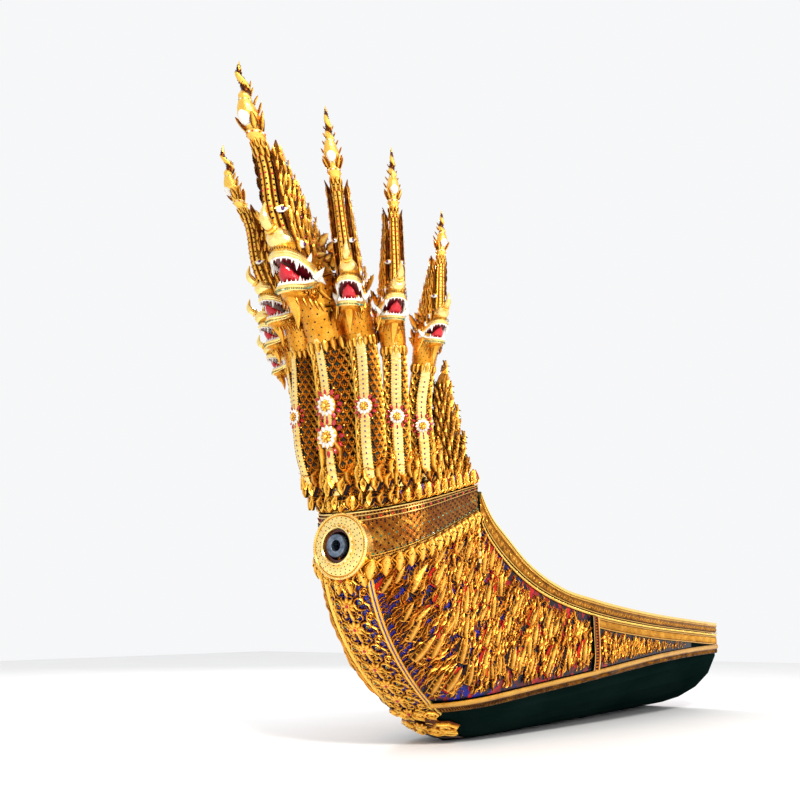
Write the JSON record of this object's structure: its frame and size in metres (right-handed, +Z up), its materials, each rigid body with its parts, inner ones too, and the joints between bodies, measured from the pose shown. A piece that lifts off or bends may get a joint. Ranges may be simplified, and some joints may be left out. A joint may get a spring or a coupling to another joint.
{
  "type": "royal barge bow section",
  "caption": "Bow section of a carved and gilded royal barge, with seven serpent heads over a gun port; it joins the hull behind it.",
  "frame": {"origin": "middle of the flat bulkhead face at the hull joint, 0.35 m above the keel's underside", "axes": "+X aft out of the joint, +Y to starboard, +Z up"},
  "size_m": [5.493, 1.786, 3.8412],
  "materials": {
    "gold": "gold leaf on carved wood, polished",
    "lacquer_green": "gloss lacquer",
    "red_lacquer": "gloss lacquer",
    "timber": "oiled",
    "gun_steel": "blackened and worn"
  },
  "bodies": {
    "root": {"hull_shell": "lacquer_green", "joint_bulkhead": "red_lacquer", "foredeck": "timber", "deck_beam_1": "timber", "deck_beam_2": "timber", "deck_beam_3": "timber", "floor_boards": "timber", "floor_frame_1": "timber", "floor_frame_2": "timber", "floor_frame_3": "timber", "riser_port": "timber", "riser_starboard": "timber", "thwart_1": "red_lacquer", "thwart_2": "red_lacquer", "thwart_3": "red_lacquer", "port_ring": "gold", "port_liner": "red_lacquer", "gun_barrel": "gun_steel", "gun_bearer": "timber", "stem_panel": "gold", "stem_foot": "gold", "stem_border_port": "gold", "stem_border_starboard": "gold", "collar_port": "gold", "collar_starboard": "gold", "gunwale_port": "gold", "gunwale_starboard": "gold", "cap_rail_port": "gold", "cap_rail_starboard": "gold", "bead_rail_port": "gold", "bead_rail_starboard": "gold", "rib_band_port": "gold", "rib_band_starboard": "gold", "side_panel_port": "gold", "side_panel_starboard": "gold", "aft_panel_port": "gold", "aft_panel_starboard": "gold", "joint_strap_port": "red_lacquer", "joint_strap_starboard": "red_lacquer", "lower_band_port": "gold", "lower_band_starboard": "gold", "crown_base": "gold", "leaf_row": "gold", "nape_flame_port": "gold", "nape_flame_starboard": "gold", "neck_centre": "gold", "neck_first_port": "gold", "neck_first_starboard": "gold", "neck_second_port": "gold", "neck_second_starboard": "gold", "neck_third_port": "gold", "neck_third_starboard": "gold", "head_centre": "gold", "head_first_port": "gold", "head_first_starboard": "gold", "head_second_port": "gold", "head_second_starboard": "gold", "head_third_port": "gold", "head_third_starboard": "gold"}
  },
  "joints": []
}
